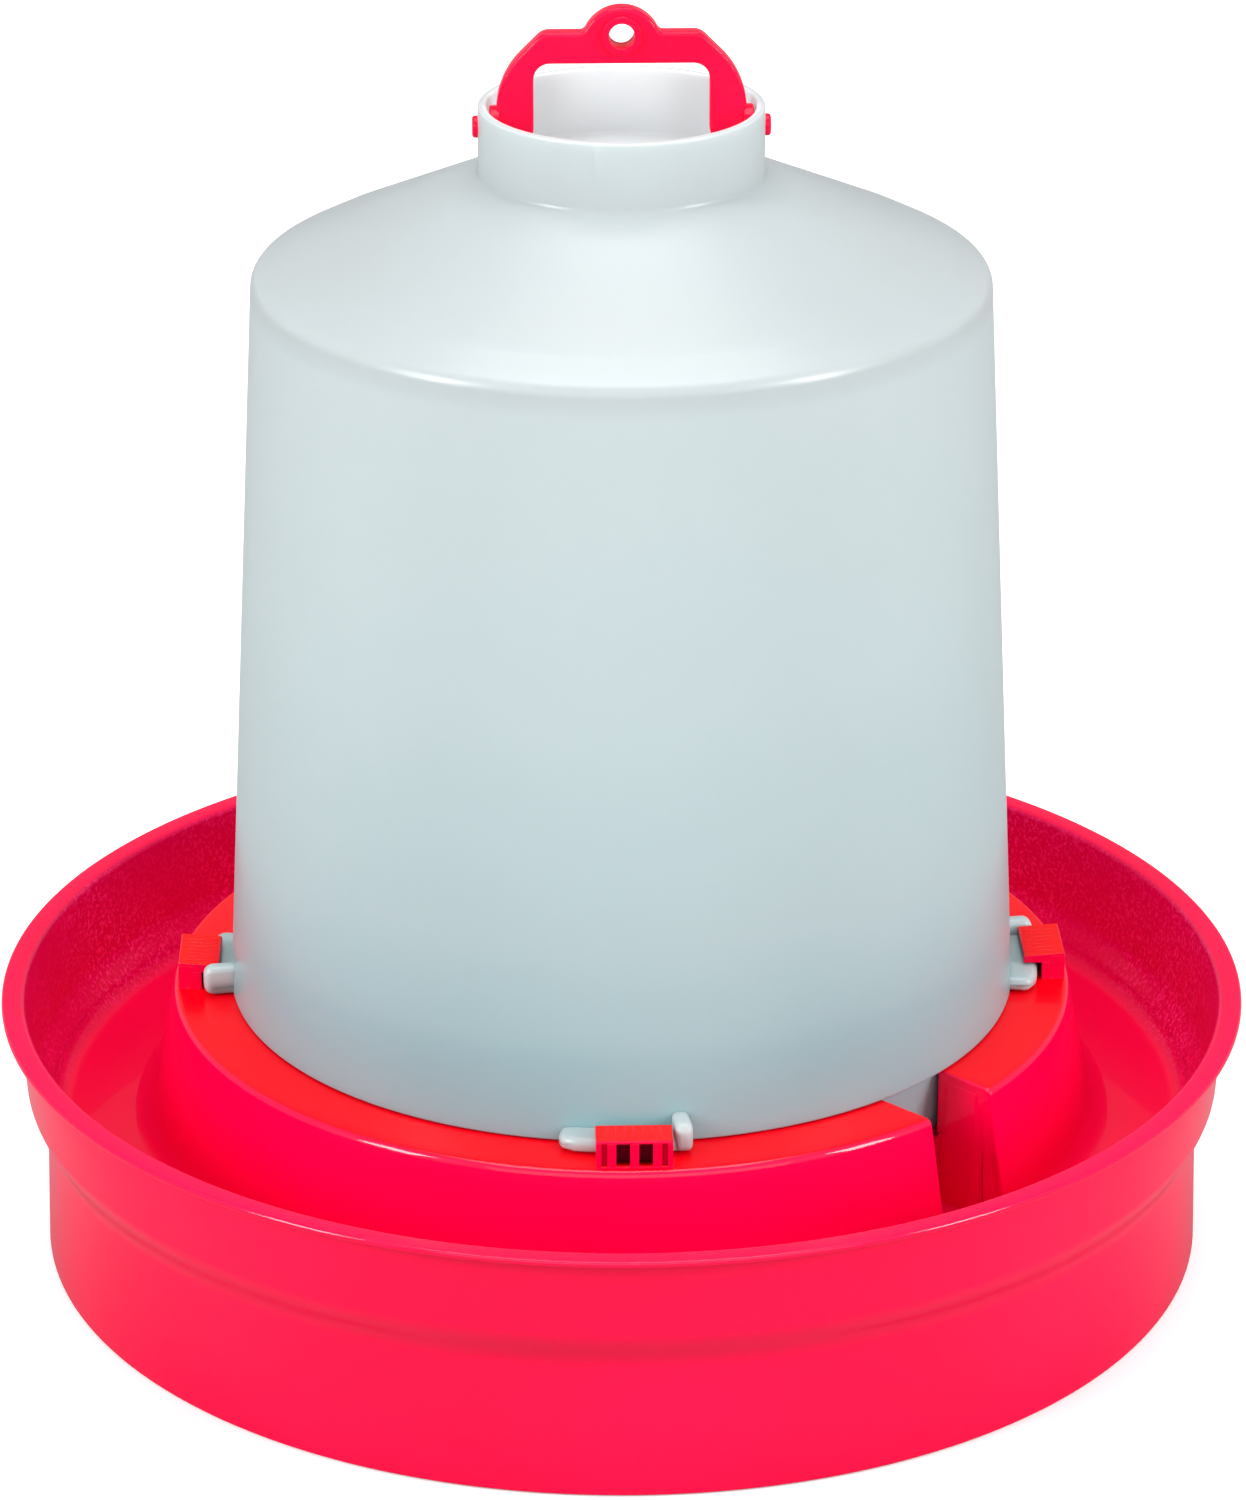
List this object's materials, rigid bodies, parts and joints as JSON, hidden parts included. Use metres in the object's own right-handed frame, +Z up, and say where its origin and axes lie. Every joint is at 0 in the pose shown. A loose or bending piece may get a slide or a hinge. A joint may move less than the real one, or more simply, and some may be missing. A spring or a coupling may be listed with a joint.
{
  "type": "poultry waterer fount",
  "caption": "Poultry drinker: a deep red trough pan with a raised plinth, a milky bottomless jug that twist-locks onto it, and a red bail that swings in the jug's neck.",
  "frame": {"origin": "middle of the foot's circle, on the surface that the pan stands on", "axes": "+Z up along the jug's axis; the bail's pins lie along X; lock clips at +X, +Y, -X and -Y; the outlet channel opens between +X and -Y"},
  "size_m": [0.32, 0.32, 0.3254],
  "materials": {
    "pan_red": "glossy injection-moulded red",
    "jug_milky": "translucent milky white with a soft gloss",
    "bail_red": "satin red"
  },
  "bodies": {
    "pan": {"trough_wall": "pan_red", "wall_step": "pan_red", "foot_skirt": "pan_red", "trough_floor": "pan_red", "plinth_wall": "pan_red", "plinth_ledge": "pan_red", "well_wall": "pan_red", "well_platform": "pan_red", "outlet_channel": "pan_red", "lock_clip_front": "pan_red", "lock_clip_right": "pan_red", "lock_clip_back": "pan_red", "lock_clip_left": "pan_red"},
    "jug": {"jug_side": "jug_milky", "jug_shoulder": "jug_milky", "jug_skirt": "jug_milky", "neck_collar": "jug_milky", "neck_floor": "jug_milky", "jug_lug_front": "jug_milky", "jug_lug_right": "jug_milky", "jug_lug_back": "jug_milky", "jug_lug_left": "jug_milky"},
    "bail": {"grip_arm_left": "bail_red", "grip_arm_right": "bail_red", "bail_hub": "bail_red", "bail_leg_left": "bail_red", "bail_leg_right": "bail_red", "pivot_pin_left": "bail_red", "pivot_pin_right": "bail_red"}
  },
  "joints": [
    {"name": "jug_twist", "type": "hinge", "parent": "pan", "child": "jug", "pos_m": [0, 0, 0.0695], "axis": [0, 0, 1], "range_deg": [0, 75]},
    {"name": "bail_swing", "type": "hinge", "parent": "jug", "child": "bail", "pos_m": [0, 0, 0.2954], "axis": [1, 0, 0], "range_deg": [-105, 105]}
  ]
}
